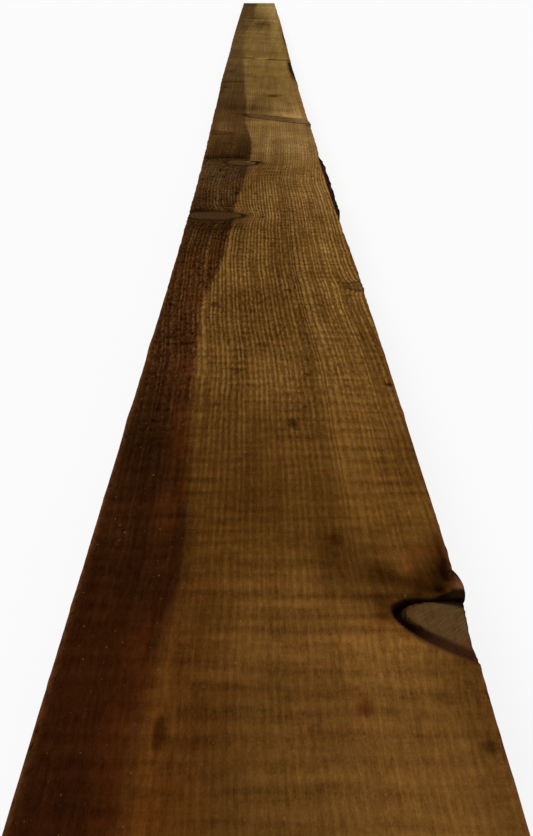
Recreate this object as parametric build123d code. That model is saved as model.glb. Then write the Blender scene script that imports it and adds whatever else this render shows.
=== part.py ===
from build123d import *
import math
import os

# A rough-sawn softwood plank, one solid, lying flat.
# The origin is under the middle of the underside. X runs across the plank, Y along it and Z up.
# A station is a distance along the plank from its near end, at -Y.

# Sawn size
length = 4800.0
width = 150.0
thickness = 50.0
worn_corner = 1.2

# Both edges wander in and out as the saw drifted: stations, and how far in from the sawn width each edge is
# there. A minus means out.
left_insets = ((-40.0, 0.0), (985.0, 7.0), (2010.0, 0.0), (3300.0, -2.0))
right_insets = ((-20.0, 4.2), (538.0, 0.0), (1095.0, 4.2), (2210.0, 4.2), (2768.0, 0.0), (3900.0, -3.0))
outline_step = 200.0

# The log that the plank was sawn from: its pith runs below and to the left of the plank
pith_x = -207.0
pith_z = -32.0
bark_roundness = 0.5
wane_overcut = 9.0

# Wane, where the round outside of the log cuts the upper right corner away: the stations where it begins,
# is widest and ends, its width on the face and its depth on the edge. It fades out on its longer side, and
# breaks off short on a shorter one.
waned_stretches = (
    (1750.0, 2060.0, 2150.0, 9.5, 3.5),
    (2400.0, 2750.0, 3100.0, 6.0, 4.5),
    (3680.0, 3940.0, 4200.0, 5.0, 4.0),
)

# The strip of bark left proud of the right edge where the log bulged
swelling_start = 893.0
swelling_length = 257.0
swelling_height = 3.5
swelling_bulge = 0.9
swelling_ramp = 20.0
swelling_root = 4.0
swelling_rounding = 2.0

# The large knot that breaks out at the right edge, with a ring of loose bark round it
knot_station = 341.5
knot_surface_x = 133.0
knot_radius = 17.0
knot_lean = -20.0
bark_ring = 3.0
bark_ring_offset = 2.0
bark_gap_depth = 3.0
collar_station = 386.0
collar_width = 22.0
collar_height = 3.8
collar_drop = 3.5

# The hollow where the tip of a spike knot has torn out of the face
pocket_station = 1119.5
pocket_x = -4.5
pocket_length = 13.0
pocket_width = 8.0
pocket_depth = 3.5

# The chip broken out of the left edge beside a knot
chip_station = 1287.0
chip_length = 15.0
chip_inset = 3.0
chip_drop = 30.0

# Room that cutting shapes reach past the plank
clear = 20.0


def y_at(station):
    """The place along Y of a distance from the near end."""
    return station - length / 2


def inset_at(station, insets):
    """How far in an edge lies at a station, eased from each listed one to the next."""
    for (before, inset_before), (after, inset_after) in zip(insets, insets[1:]):
        if before <= station < after:
            share = (1 - math.cos(math.pi * (station - before) / (after - before))) / 2
            return inset_before + (inset_after - inset_before) * share
    return insets[0][1] if station < insets[0][0] else insets[-1][1]


def left_edge(station):
    """The left edge's place along X at a station."""
    return -width / 2 + inset_at(station, left_insets)


def right_edge(station):
    """The right edge's place along X at a station."""
    return width / 2 - inset_at(station, right_insets)


def sawn_body():
    """The plank as sawn: two wandering edges, two square ends and lightly worn corners."""
    steps = max(4, round(length / outline_step))
    stations = [length * i / steps for i in range(steps + 1)]
    left = Spline(*[(left_edge(s), y_at(s)) for s in stations])
    right = Spline(*[(right_edge(s), y_at(s)) for s in stations])
    near = Line(left @ 0, right @ 0)
    far = Line(left @ 1, right @ 1)
    body = extrude(make_face(left + right + near + far), thickness)
    long_edges = [edge for edge in body.edges() if edge.length > length / 2]
    return chamfer(long_edges, worn_corner)


def swelling():
    """The proud strip of bark: it ramps up quickly at both ends and bulges a little between them."""
    end = swelling_start + swelling_length
    first = swelling_start + swelling_ramp
    last = end - swelling_ramp
    middle = (first + last) / 2
    root = right_edge(swelling_start) - swelling_root
    near_foot = (right_edge(swelling_start), y_at(swelling_start))
    near_top = (right_edge(first) + swelling_height, y_at(first))
    crest = (right_edge(middle) + swelling_height + swelling_bulge, y_at(middle))
    far_top = (right_edge(last) + swelling_height, y_at(last))
    far_foot = (right_edge(end), y_at(end))
    outline = (
        Line((root, y_at(swelling_start)), near_foot)
        + Line(near_foot, near_top)
        + ThreePointArc(near_top, crest, far_top)
        + Line(far_top, far_foot)
        + Line(far_foot, (root, y_at(end)))
        + Line((root, y_at(end)), (root, y_at(swelling_start)))
    )
    strip = extrude(make_face(outline), thickness - worn_corner)
    outer_edges = strip.edges().filter_by(GeomType.CIRCLE)
    return chamfer(outer_edges.sort_by(Axis.Z)[-1], swelling_rounding)


def wane(begins, widest, ends, across, down):
    """The cutter for one waned stretch: the space outside the log, which dips in along an arc."""
    along = 2 * max(widest - begins, ends - widest)
    corner = Vector(right_edge(widest), y_at(widest), thickness)
    on_face = Vector(corner.X - across, corner.Y, corner.Z)
    on_edge = Vector(corner.X, corner.Y, corner.Z - down)
    chord = (on_edge - on_face).normalized()
    outward = Vector(-chord.Z, 0, chord.X)
    bite = (corner - on_face).dot(outward)
    sweep_radius = ((along / 2) ** 2 + bite**2) / (2 * bite)
    start = on_face - chord * wane_overcut
    end = on_edge + chord * wane_overcut
    middle = (start + end) / 2 + outward * bark_roundness
    lift = outward * (bite + clear)
    section = make_face(
        ThreePointArc(start, middle, end)
        + Line(end, end + lift)
        + Line(end + lift, start + lift)
        + Line(start + lift, start)
    )
    turn = 2 * math.degrees(math.asin(min(1, along / 2 / sweep_radius))) * 1.2
    axis = Axis(on_face + outward * sweep_radius, chord)
    swept = revolve(section, axis, turn).rotate(axis, -turn / 2)
    near_stop = begins if widest - begins < along / 2 else begins - clear
    far_stop = ends if ends - widest < along / 2 else ends + clear
    reach = Box(4 * width, far_stop - near_stop, 4 * width)
    return swept & Pos(0, y_at((near_stop + far_stop) / 2), 0) * reach


def branch():
    """The frame of the large knot: its Z runs out of the pith along the branch."""
    run = knot_surface_x - pith_x
    sideways = run * math.tan(math.radians(knot_lean))
    direction = Vector(run, sideways, thickness - pith_z)
    return Plane((knot_surface_x, y_at(knot_station), thickness), z_dir=direction)


def bark_gap():
    """The open ring round the large knot, cut a little way in from the face and from the edge."""
    reach = 8 * knot_radius
    frame = branch()
    socket = frame * Cylinder(knot_radius + bark_ring, 2 * reach)
    shift = frame.to_local_coords(Vector(0, 0, bark_ring_offset) + frame.origin)
    core = frame * Pos(shift.X, shift.Y, 0) * Cylinder(knot_radius, 2 * reach)
    side = right_edge(knot_station)
    inner_size = (2 * reach, 4 * reach, thickness)
    inside = Box(*inner_size, align=(Align.MAX, Align.CENTER, Align.MIN))
    kept = Pos(side - bark_gap_depth, y_at(knot_station), -bark_gap_depth) * inside
    return socket - core - kept


def collar():
    """The bump of overgrown wood that the branch pushed out of the edge."""
    cap_radius = ((collar_width / 2) ** 2 + collar_height**2) / (2 * collar_height)
    centre_x = right_edge(collar_station) + collar_height - cap_radius
    ball = Pos(centre_x, y_at(collar_station), thickness - collar_drop) * Sphere(cap_radius)
    slab = Pos(0, y_at(collar_station), 0) * Box(
        2 * width, 4 * collar_width, thickness - worn_corner, align=(Align.CENTER, Align.CENTER, Align.MIN)
    )
    return ball & slab


def pocket():
    """The torn-out hollow at a spike knot's tip, a lens cut down into the face."""
    half = pocket_length / 2
    arc = ThreePointArc((-half, 0), (0, -pocket_depth), (half, 0))
    sides = Line((half, 0), (half, clear)) + Line((half, clear), (-half, clear)) + Line((-half, clear), (-half, 0))
    lens = make_face(Plane.XZ * (arc + sides))
    block = extrude(lens, pocket_width / 2, both=True)
    return Pos(pocket_x, y_at(pocket_station), thickness) * block


def chip():
    """The chip out of the left edge: a shallow scoop, deepest at the face."""
    mouth = ((chip_length / 2) ** 2 + chip_inset**2) / (2 * chip_inset)
    tip_depth = chip_drop * mouth / chip_inset
    scoop = Rot(Y=180) * Cone(2 * mouth, 0, 2 * tip_depth)
    return Pos(left_edge(chip_station) + chip_inset - mouth, y_at(chip_station), thickness) * scoop


def plank():
    """The whole plank, with its wane, knot, pocket and chip."""
    body = sawn_body() + swelling() + collar()
    for stretch in waned_stretches:
        body -= wane(*stretch)
    body -= bark_gap()
    body -= pocket()
    body -= chip()
    box = body.bounding_box()
    return Pos(-box.center().X, -box.center().Y, -box.min.Z) * body


os.makedirs("parts", exist_ok=True)
export_step(plank(), "parts/plank.step")
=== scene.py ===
import math
from types import SimpleNamespace

import bpy
import numpy as np
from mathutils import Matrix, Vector


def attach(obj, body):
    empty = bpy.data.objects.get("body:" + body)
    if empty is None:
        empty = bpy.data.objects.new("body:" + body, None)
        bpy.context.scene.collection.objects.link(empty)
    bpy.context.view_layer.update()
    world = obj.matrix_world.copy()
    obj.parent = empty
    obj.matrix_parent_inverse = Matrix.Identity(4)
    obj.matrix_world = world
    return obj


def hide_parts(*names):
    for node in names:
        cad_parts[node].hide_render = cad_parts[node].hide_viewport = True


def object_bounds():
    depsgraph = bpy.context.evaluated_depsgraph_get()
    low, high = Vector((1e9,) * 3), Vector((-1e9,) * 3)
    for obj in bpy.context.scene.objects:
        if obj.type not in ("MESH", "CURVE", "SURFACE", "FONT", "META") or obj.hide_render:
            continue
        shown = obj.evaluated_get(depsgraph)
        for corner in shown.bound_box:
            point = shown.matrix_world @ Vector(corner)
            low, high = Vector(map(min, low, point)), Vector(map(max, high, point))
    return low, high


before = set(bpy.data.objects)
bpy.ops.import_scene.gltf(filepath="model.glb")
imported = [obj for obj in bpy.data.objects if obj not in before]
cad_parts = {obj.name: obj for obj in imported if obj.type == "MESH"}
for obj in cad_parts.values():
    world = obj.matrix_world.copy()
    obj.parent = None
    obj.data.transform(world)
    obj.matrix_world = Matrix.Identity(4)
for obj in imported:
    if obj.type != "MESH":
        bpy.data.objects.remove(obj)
cad_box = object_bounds()

# Everything about the plank is in millimetres until the mesh is made.
# u runs across the plank, s is the station, measured along it from the near end, and z is the height.
LENGTH = 4800.0
WIDTH = 150.0
THICKNESS = 50.0
WORN_CORNER = 1.2
RING_PITCH = 2.8
SAW_PITCH = 9.4

# The pith of the log that the plank was sawn from
PITH_U = -207.0
PITH_Z = -32.0

# Stations, and how far in from the sawn width each edge is there. A minus means out.
LEFT_INSETS = ((-40.0, 0.0), (985.0, 7.0), (2010.0, 0.0), (3300.0, -2.0))
RIGHT_INSETS = (
    (-20.0, 4.2), (538.0, 0.0), (1095.0, 4.2), (2210.0, 4.2), (2768.0, 0.0), (3900.0, -3.0),
)

# The middle of the CAD's box across the plank, whose left edge reaches 2 mm past the sawn width
CENTRE_U = -WIDTH / 2 - 2.0 - cad_box[0].x * 1000

# In the lists from here on a place is soft: a bell as (centre, reach), or a level stretch as (rises from,
# rises to, falls from, falls to). A rise or a fall outside the plank means that the stretch runs to its edge.

# Small bumps of each edge that have no shape of their own in the source: how far out, and where along it
LEFT_BUMPS = (
    (0.6, (516, 12)),
    (0.7, (606, 12)),
    (-1.3, (1505, 1540, 1700, 1790)),
    (1.4, (2350, 2700, 4900, 5000)),
)
RIGHT_BUMPS = (
    (0.6, (345.5, 2)),
    (-0.6, (347.5, 349.5, 353, 357)),
    (-0.5, (349, 355, 364, 369)),
    (0.45, (388, 397, 425, 480)),
    (0.6, (690, 730, 790, 830)),
    (1.3, (1140, 1190, 1270, 1420)),
    (1.6, (1343, 1356, 1366, 1380)),
    (1.3, (1720, 1790, 1950, 2050)),
    (1.2, (1950, 2050, 4900, 5000)),
)

# Where each waned stretch begins, is widest and ends, its width on the face, its depth on the edge, and how
# much dark bark it still has
WANES = (
    (1750.0, 2060.0, 2150.0, 9.5, 3.5, 0.9),
    (2400.0, 2750.0, 3100.0, 6.0, 4.5, 0.7),
    (3680.0, 3940.0, 4200.0, 5.0, 4.0, 0.6),
)
WANE_ROUNDNESS = 0.5
WANE_OVERCUT = 9.0

# The strip of bark left proud of the right edge
SWELLING_START = 893.0
SWELLING_END = 1150.0
SWELLING_RAMP = 20.0
SWELLING_HEIGHT = 3.5
SWELLING_BULGE = 0.9
BULGE_STATION = 1021.0
BULGE_HALF = 108.0

# The bump of overgrown wood beside the large knot
COLLAR_STATION = 384.5
COLLAR_HALF = 10.3
COLLAR_HEIGHT = 3.2
COLLAR_DROP = 3.5

# The open ring of bark between the large knot's socket and its core, which lies higher than the socket
SOCKET_RADIUS = 20.25
CORE_RADIUS = 17.25
CORE_RISE = 2.0
GAP_DEPTH = 3.0

# The hollow where the tip of a spike knot has torn out of the face
POCKET_U = -4.5
POCKET_STATION = 1119.5
POCKET_HALF_WIDTH = 4.2
POCKET_HALF_LENGTH = 6.5
POCKET_DEPTH = 3.3

# The chip broken out of the left edge
CHIP_STATION = 1287.0
CHIP_HALF = 7.5
CHIP_INSET = 3.0
CHIP_DROP = 30.0

# Each branch: where its middle line crosses the upper face, its slope out of the face, its heading across
# it, its radius, the thickness of its dark border, how pale its wood is, how far it bends the rings, and
# how much it differs from the wood round it
BRANCHES = {
    "edge": (133.0, 341.5, 12.8, -20.0, CORE_RADIUS, 0.15, 0.8, 7.0, 0.95),
    "left_spike": (-44.0, 893.0, 26.8, -3.0, 13.0, 1.6, 0.15, 12.0, 0.85),
    "pocket": (-22.0, 1114.0, 38.0, -22.0, 12.5, 1.5, 0.45, 10.0, 0.9),
    "left_edge": (-64.0, 1298.0, 32.0, 0.0, 12.5, 1.6, 0.1, 5.0, 0.6),
    "long_spike": (34.6, 1403.0, 13.5, -35.0, 17.0, 1.2, 0.45, 3.0, 0.85),
    "small": (76.0, 707.5, 50.0, 0.0, 10.0, 1.0, 0.9, 3.0, 0.55),
}

# Stations, and how much nearer the pith the rings lie there
RING_DRIFT = (
    (0, 1), (290, 0), (340, -1.3), (447, 0.4), (499, -0.5), (585, -1.3), (636, -5), (662, -6.4),
    (718, -7.8), (764, -9), (881, -8), (927, -8), (974, -10), (1020, -12.5), (1067, -12), (1114, -9),
    (1300, -8), (1700, -3), (2300, -6), (3300, 0), (4800, -4),
)

# Stations, and where across the upper face the dark heartwood ends
HEART_EDGE = (
    (0, -42), (285, -40), (340, -39), (358, -35), (384, -30.5), (422, -31.7), (452, -34), (500, -37.5),
    (560, -38.7), (610, -40.2), (662, -42.3), (700, -40.2), (738, -32.5), (790, -30.5), (834, -28.6),
    (867, -26), (927, -25), (974, -21.8), (1020, -18.7), (1067, -16.3), (1146, -11.5), (1188, -10.3),
    (1253, -12),
    (1300, -15), (1340, -19), (1388, -21.5), (1545, -21.5), (1656, -25), (1813, -28.6), (1971, -32),
    (2114, -35.5), (2400, -42), (3000, -42), (3600, -22), (4164, -16.7), (4800, -10),
)

# Rows of the mesh are closest round these stations: the middle, half the length and the spacing
CLOSE_ROWS = (
    (0, 3, 1.5), (370, 32, 1.05), (415, 14, 2.2), (707, 12, 3), (893, 14, 2.6),
    (903, 12, 2), (1119.5, 8, 1), (1140, 12, 2.2), (1287, 10, 1.2), (1365, 20, 3),
    (1410, 40, 5), (1633, 16, 5), (1741, 10, 8), (1816, 10, 5), (2150, 6, 1),
    (2215, 40, 5), (LENGTH, 3, 1.5),
)
END_RINGS = 8

# Stains on the wood: how much they darken it or, with a minus, lighten it, and where across and along it
STAINS = (
    # Along all of the plank or its near part
    (-0.16, (38, 8), (-200, -100, 420, 620)),
    (0.16, (-99, -90, -30, 0), (-200, -100, 420, 620)),
    (0.12, (58, 74, 90, 99), (-200, -100, 420, 620)),
    (-0.10, (38, 9), (-200, -100, 4900, 5000)),
    (-0.24, (38, 50, 90, 99), (-200, -100, 4900, 5000)),
    # Before the large knot
    (0.14, (-99, -90, -62, -40), (240, 250, 292, 310)),
    (0.20, (-28, -20, -12, -4), (240, 280, 330, 345)),
    (0.14, (-14, -8, 4, 14), (240, 280, 335, 350)),
    (-0.15, (29, 15), (250, 285, 345, 378)),
    (0.12, (56, 64, 90, 99), (308, 318, 344, 352)),
    # Beside the large knot
    (0.20, (-20, 20, 90, 99), (346, 1.6)),
    (0.30, (70, 6), (348, 4)),
    (-0.24, (26, 36, 50, 58), (328, 342, 356, 364)),
    (-0.16, (-30, 0, 90, 99), (353, 5.5)),
    (0.14, (-20, 20, 90, 99), (361, 1)),
    (-0.20, (-24, -6, 28, 36), (336, 346, 384, 400)),
    (0.24, (-40, -10, 44, 48), (368, 1.6)),
    (0.45, (37, 47, 52, 58), (362, 367, 373, 377)),
    (0.25, (43, 5.5), (362, 368, 374, 378)),
    (-0.20, (-30, 0, 26, 34), (374, 2.4)),
    (0.16, (41, 9), (376.5, 3.5)),
    (0.36, (24, 50, 58, 62), (377, 3)),
    (0.15, (-12, 10, 46, 50), (378.7, 1.5)),
    (0.14, (54, 60, 66, 71), (381.5, 3)),
    (0.28, (16, 36, 60, 74), (373, 379, 389, 397)),
    (0.25, (64, 10), (385, 6)),
    (0.14, (48, 12), (385, 5)),
    (0.24, (49, 6), (391, 5)),
    (-0.18, (56, 3.5), (393, 3)),
    (0.17, (42, 11), (394, 7)),
    (-0.40, (55, 4.5), (396, 6)),
    (0.15, (56, 61, 68, 76), (389, 394, 408, 416)),
    (-0.15, (49, 6), (402, 4)),
    (0.15, (25, 22), (404, 14)),
    (0.21, (16, 34, 44, 54), (389, 397, 412, 426)),
    (0.10, (30, 36, 48, 56), (400, 406, 414, 428)),
    (-0.30, (38, 46, 70, 90), (434, 12)),
    # From there to the left spike knot
    (-0.20, (-70, -62, -58, -50), (350, 380, 520, 570)),
    (-0.10, (34, 42, 60, 68), (430, 450, 560, 620)),
    (-0.10, (2, 8, 22, 28), (465, 485, 560, 600)),
    (-0.12, (-12, -4, 12, 20), (510, 530, 560, 590)),
    (-0.14, (8, 14, 22, 28), (500, 530, 570, 620)),
    (0.16, (-99, -90, -70, -62), (465, 485, 640, 680)),
    (0.10, (-18, 14), (540, 570, 610, 640)),
    (-0.22, (-43, 8), (290, 320, 900, 960)),
    (0.22, (56, 66, 90, 99), (460, 500, 780, 900)),
    (-0.08, (26, 34, 54, 62), (590, 620, 740, 780)),
    (0.16, (-60, 10, 40, 60), (690, 60)),
    (-0.24, (-60, -54, -44, -38), (630, 660, 740, 790)),
    (-0.14, (40, 7), (560, 620, 780, 850)),
    (0.06, (34, 42, 60, 68), (600, 640, 860, 900)),
    (0.13, (18, 25, 31, 38), (690, 712, 790, 860)),
    (0.12, (-40, -30, -20, -12), (540, 580, 1000, 1060)),
    (-0.32, (-70, -62, -58, -52), (790, 810, 868, 882)),
    (0.10, (-18, 14), (780, 810, 880, 910)),
    (0.12, (46, 56, 90, 99), (800, 816, 876, 890)),
    (0.26, (-36, -28, -20, -12), (846, 856, 876, 886)),
    (0.25, (-90, -80, -50, -25), (830, 860, 880, 884)),
    # From there to the long spike knot
    (0.45, (-90, -80, -46, -34), (900, 906, 910, 924)),
    (0.22, (-74, -68, -54, -46), (904, 910, 955, 1000)),
    (-0.16, (-46, -42, -36, -30), (900, 910, 985, 1010)),
    (0.13, (-99, -90, 34, 44), (780, 820, 1100, 1200)),
    (-0.10, (-70, -60, -30, -18), (960, 1000, 1110, 1134)),
    (-0.14, (-74, -66, -50, -42), (1030, 1060, 1100, 1130)),
    (-0.14, (-44, -40, -34, -30), (1040, 1056, 1110, 1130)),
    (0.20, (-30, -22, -14, -6), (1036, 1054, 1118, 1134)),
    (0.16, (-90, -30, 4, 20), (1090, 60)),
    (0.12, (24, 44, 90, 99), (1105, 55)),
    (0.50, (-90, -80, -22, -12), (1134, 1137, 1145, 1172)),
    (0.13, (-34, -26, -14, -12), (1120, 1140, 1236, 1250)),
    (0.24, (-62, -57, -52, -47), (1170, 1190, 1270, 1288)),
    (0.10, (-26, -20, 0, 10), (1180, 1200, 1270, 1300)),
    (0.18, (-44, -36, -22, -14), (1232, 1244, 1284, 1294)),
    (-0.25, (-99, -90, -60, -20), (1175, 1200, 1350, 1400)),
    (0.30, (-74, -70, -52, -40), (1280, 1291, 1303, 1316)),
    (-0.30, (-64, -56, -44, -38), (1288, 1300, 1372, 1392)),
    (0.60, (58, 72, 90, 99), (1352, 5)),
    (0.10, (20, 34, 72, 90), (1330, 1346, 1384, 1396)),
    (0.24, (60, 67, 90, 99), (1165, 1190, 1560, 1640)),
    # The far part
    (-0.20, (50, 57, 62, 68), (1384, 1392, 1424, 1436)),
    (0.26, (-28, -20, 2, 14), (1384, 1396, 1424, 1440)),
    (-0.30, (50, 17), (1412, 1424, 1440, 1500)),
    (-0.10, (30, 44, 56, 64), (1384, 1396, 1480, 1560)),
    (0.20, (-99, -90, -14, 30), (1500, 60)),
    (0.14, (-30, -22, 8, 24), (1426, 1440, 1580, 1640)),
    (0.75, (23, 12), (1633, 15)),
    (0.55, (-62, 10), (1741, 16)),
    (0.50, (-99, -90, -36, -28), (1816, 12)),
    (0.55, (-62, 10), (1976, 20)),
    (0.22, (62, 68, 90, 99), (1700, 1760, 2280, 2420)),
    (0.12, (56, 64, 90, 99), (1850, 2000, 2300, 2450)),
    (0.08, (-10, 0, 30, 40), (3080, 3140, 3260, 3320)),
    (0.60, (16, 36), (3330, 120)),
    (-0.08, (34, 44, 90, 99), (2480, 2520, 4200, 4500)),
    (-0.10, (30, 52, 90, 99), (2900, 3200, 3700, 4000)),
    (-0.25, (-54, -48, -36, -28), (3240, 3320, 3680, 3800)),
    (-0.16, (48, 60, 90, 99), (3080, 3160, 3900, 4200)),
    (0.30, (-60, -40, 60, 76), (3640, 60)),
    (0.12, (-30, -20, 14, 26), (3480, 3560, 3900, 4200)),
    (0.08, (-20, -12, 14, 26), (3700, 3760, 4000, 4200)),
    (0.12, (-99, -90, -10, 14), (2900, 3200, 4900, 5000)),
    (0.12, (-70, -62, -6, 6), (4300, 4420, 4800, 4900)),
)

# Stains that only show on the upper part of the side faces and on the upper face
HIGH_STAINS = (
    (0.40, (10, 55, 90, 99), (391, 14)),
    (0.35, (68, 5), (381, 4)),
    (0.15, (56, 68, 90, 99), (392, 9)),
    (0.10, (62, 72, 90, 99), (382, 390, 412, 424)),
)

# The same, with their place across counted from the right edge
EDGE_STAINS = (
    (0.45, (-6, -1, 9, 19), (384, 390, 408, 424)),
    (0.55, (-13, -7, 9, 19), (1780, 1950, 2120, 2160)),
    (0.35, (-16, -4, 9, 19), (2300, 2500, 3800, 4300)),
)

# Stains that run aslant: the last number is how far their station falls with each millimetre across
SLANTED_STAINS = (
    (0.35, (14, 14), (1109.4, 5), 0.1),
    (0.65, (-40, -30, -20, 0), (2222, 9), 0.4),
    (0.75, (8, 22, 72, 76), (2206, 9), 0.4),
    (-0.70, (-20, -4, 14, 30), (2225, 12), 0.4),
)

# Redder patches
WARM_PATCHES = (
    (0.5, (33, 5), (327, 7)),
    (0.9, (71, 5), (351, 5)),
    (0.45, (-38, 8), (361, 12)),
    (0.5, (43, 8), (364, 6)),
    (0.6, (74, 76, 90, 99), (387, 7)),
    (0.7, (57, 5), (396, 5)),
    (0.8, (63, 7), (406, 5)),
    (0.6, (48, 5), (407, 4)),
    (0.5, (-70, 4), (889, 8)),
)

# Pale splinters by the torn-out hollow
SPLINTERS = (
    (1.0, (-8, 3), (1112.5, 1.5)),
    (0.7, (-3, 2.5), (1117, 1.2)),
    (1.0, (-14, 3.5), (1118, 1.6)),
)

# Small dark marks on the upper face: u, station, half width, half length and strength
SPOTS = (
    (-33, 318, 2.6, 8, 0.6), (33, 327, 3.4, 4.5, 0.4), (60, 330, 3.5, 4, 0.25),
    (69.6, 312, 3.5, 3, 0.5), (30.5, 413.5, 4.5, 5, 0.4), (15.8, 508, 3, 5.5, 0.6),
    (72.5, 552, 3.5, 3, 0.75), (26, 565, 1.5, 4, 0.5), (-17, 572, 11, 2.2, 0.45),
    (-63.5, 588, 4, 4.5, 0.5), (-50, 608, 7, 3, 0.5), (0.5, 607, 5, 5, 0.45),
    (-21, 611, 1.8, 6, 0.4), (-30, 650, 13, 1.6, 0.35), (-33, 673, 3.4, 6.5, 0.6),
    (19.5, 700, 2.2, 3, 0.5), (46.5, 699, 2.2, 2.5, 0.35), (-8, 790, 15, 1.3, 0.3),
    (3.8, 825, 3.2, 3, 0.5), (2.5, 889, 2.4, 3.5, 0.75), (16.9, 915, 1.7, 3.2, 0.7),
    (-4.4, 911, 1.8, 3.5, 0.6), (69.6, 969, 3.5, 2, 0.6), (10, 960, 1.7, 4, 0.6),
    (-5, 971, 2, 4.5, 0.7), (-25, 976, 3, 6.5, 0.7), (-28.7, 1000, 2, 5, 0.5),
    (-28, 1042, 2.2, 5.5, 0.5), (-40, 1047, 2.4, 6, 0.55), (-45, 1077, 1.2, 11, 0.6),
    (57.6, 1048, 2.6, 6, 0.45), (53.4, 1216, 2.2, 6, 0.45), (13, 1052, 3.5, 5, 0.25),
)


def srgb(*shown):
    """A colour as it shows on a screen, 0 to 255, turned into the linear values that shaders use."""
    linear = [((c / 255 + 0.055) / 1.055) ** 2.4 if c > 10 else c / 255 / 12.92 for c in shown]
    return (*linear, 1.0)


# The fields that the mesh carries for the material
FIELD_NAMES = (
    "ring", "heart", "knot", "knot_middle", "knot_pale", "knot_border", "knot_here", "bark", "gap", "chipped",
    "end", "shade", "warm", "rim", "black", "pale",
)

# Screen colours of the pale sapwood and the dark heartwood at stations along the plank. Toward the far end
# they grow paler and yellower: painted sheen of the low, grazing view there, on top of the wood's own colour
SAP_WITH_FAR_SHEEN = (
    (0, (99, 65, 26)), (350, (103, 67, 26)), (430, (96, 62, 21)), (500, (102, 67, 26)), (620, (111, 77, 33)),
    (760, (117, 83, 37)), (960, (126, 91, 45)), (1100, (118, 85, 41)), (1220, (136, 104, 57)),
    (1340, (134, 101, 54)), (1460, (142, 110, 60)), (1600, (121, 92, 46)), (1900, (122, 94, 46)),
    (2200, (128, 100, 50)), (2500, (124, 97, 50)), (3100, (124, 96, 50)), (3500, (126, 99, 52)),
    (4200, (143, 117, 66)), (4800, (143, 117, 66)),
)
HEART_WITH_FAR_SHEEN = (
    (0, (52, 24, 8)), (350, (57, 27, 8)), (480, (52, 28, 9)), (600, (66, 38, 16)), (760, (72, 43, 18)),
    (860, (66, 42, 18)), (950, (80, 54, 27)), (1110, (80, 57, 31)), (1150, (62, 40, 17)),
    (1280, (84, 58, 27)), (1400, (90, 64, 32)), (1600, (84, 59, 30)), (2200, (97, 73, 40)),
    (2900, (104, 79, 43)), (3500, (98, 73, 38)), (4800, (96, 71, 38)),
)

# What the wood's colour is multiplied by in the late and the early part of a ring, and beside the heartwood
LATE_WOOD = (0.64, 0.56, 0.44, 1.0)
EARLY_WOOD = (1.72, 1.86, 2.2, 1.0)
RUDDY_WOOD = (0.82, 0.60, 0.46, 1.0)

# The other colours of the wood. Where there are two, a noise or a place chooses between them.
HEART_RIM = srgb(84, 38, 8)
WARM_PATCH = srgb(118, 60, 24)
# A painted glint: pale flecks that stand in for tiny highlights on the rough face
GLINT = srgb(150, 112, 66)
BRUISED_EDGE = srgb(150, 92, 52)
DARK_KNOT = (srgb(58, 38, 18), srgb(88, 62, 34))
PALE_KNOT = (srgb(86, 60, 32), srgb(116, 88, 52))
SPIKE_STREAK = srgb(150, 114, 78)
KNOT_FIBRE = srgb(60, 38, 22)
WARM_KNOT = srgb(110, 62, 36)
KNOT_BORDER = srgb(34, 19, 10)
KNOT_HALO = srgb(60, 36, 15)
BARK = (srgb(34, 21, 12), srgb(82, 58, 38))
TORN_WOOD = srgb(146, 108, 68)
# The gaps: in the ring round the large knot, dark bark darkened further as painted shade of the gap's depth,
# brown on the near flank and near black further on; in the torn-out hollow, painted shade
GAP_BARK_AND_SHADE = (srgb(76, 47, 28), srgb(19, 10, 6))
# A painted highlight on the top of the bump beside the large knot
COLLAR_HIGHLIGHT = srgb(128, 82, 58)
# Painted shade inside the crack and at the rims of the torn-out hollow
CRACK_SHADE = srgb(16, 9, 6)
SPLINTER = srgb(164, 122, 92)
SAWN_END = (srgb(62, 40, 20), srgb(132, 98, 56))

# The floor's half width in metres, its greys, and how far it shows as plain white to the camera
FLOOR_HALF = 30.0
FLOOR_GREYS = ((0.95, 0.95, 0.95, 1.0), (0.98, 0.98, 0.98, 1.0))
FLOOR_GLOW = 0.85
WHITE = (1.0, 1.0, 1.0, 1.0)

# How much light the white surround gives, and the lamp's strength, spread in degrees and direction
SURROUND_LIGHT = 0.5
LAMP_STRENGTH = 1.35
LAMP_SPREAD = 25.0
LAMP_DIRECTION = (0.55, -0.75, -1.0)

# The camera, fitted to the photo. Its focal length and the horizon's height are in pixels of the photo.
FOCAL_LENGTH = 800.0
PICTURE_HEIGHT = 836.0
HORIZON_ABOVE_MIDDLE = 461.95
CAMERA_YAW = 0.49
CAMERA_U = -0.96
CAMERA_STATION = 150.0
CAMERA_ABOVE = 210.4
SENSOR = 36.0


def smooth(low, high, value):
    """Rises smoothly from 0 at low to 1 at high."""
    t = np.clip((value - low) / (high - low), 0, 1)
    return t * t * (3 - 2 * t)


def hump(value, centre, reach):
    """A bell-shaped hump of height 1."""
    return np.exp(-(((value - centre) / reach) ** 2))


def span(value, rise_from, rise_to, fall_from, fall_to):
    """1 from rise_to to fall_from, easing to 0 on either side."""
    return smooth(rise_from, rise_to, value) * (1 - smooth(fall_from, fall_to, value))


def soft(value, shape):
    """1 at a soft place and 0 away from it: a bell for two numbers, a level stretch for four."""
    return hump(value, *shape) if len(shape) == 2 else span(value, *shape)


def patches(rows, u, s):
    """The sum of soft patches on the wood, each an amount, a place across and a place along."""
    total = np.zeros_like(u)
    for amount, across, along in rows:
        total += amount * soft(u, across) * soft(s, along)
    return total


def eased(points, value):
    """A line through (place, amount) points that levels out at each of them."""
    places, amounts = np.array(points, float).T
    i = np.clip(np.searchsorted(places, value) - 1, 0, len(places) - 2)
    share = np.clip((value - places[i]) / (places[i + 1] - places[i]), 0, 1)
    return amounts[i] + (amounts[i + 1] - amounts[i]) * (1 - np.cos(math.pi * share)) / 2


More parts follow.
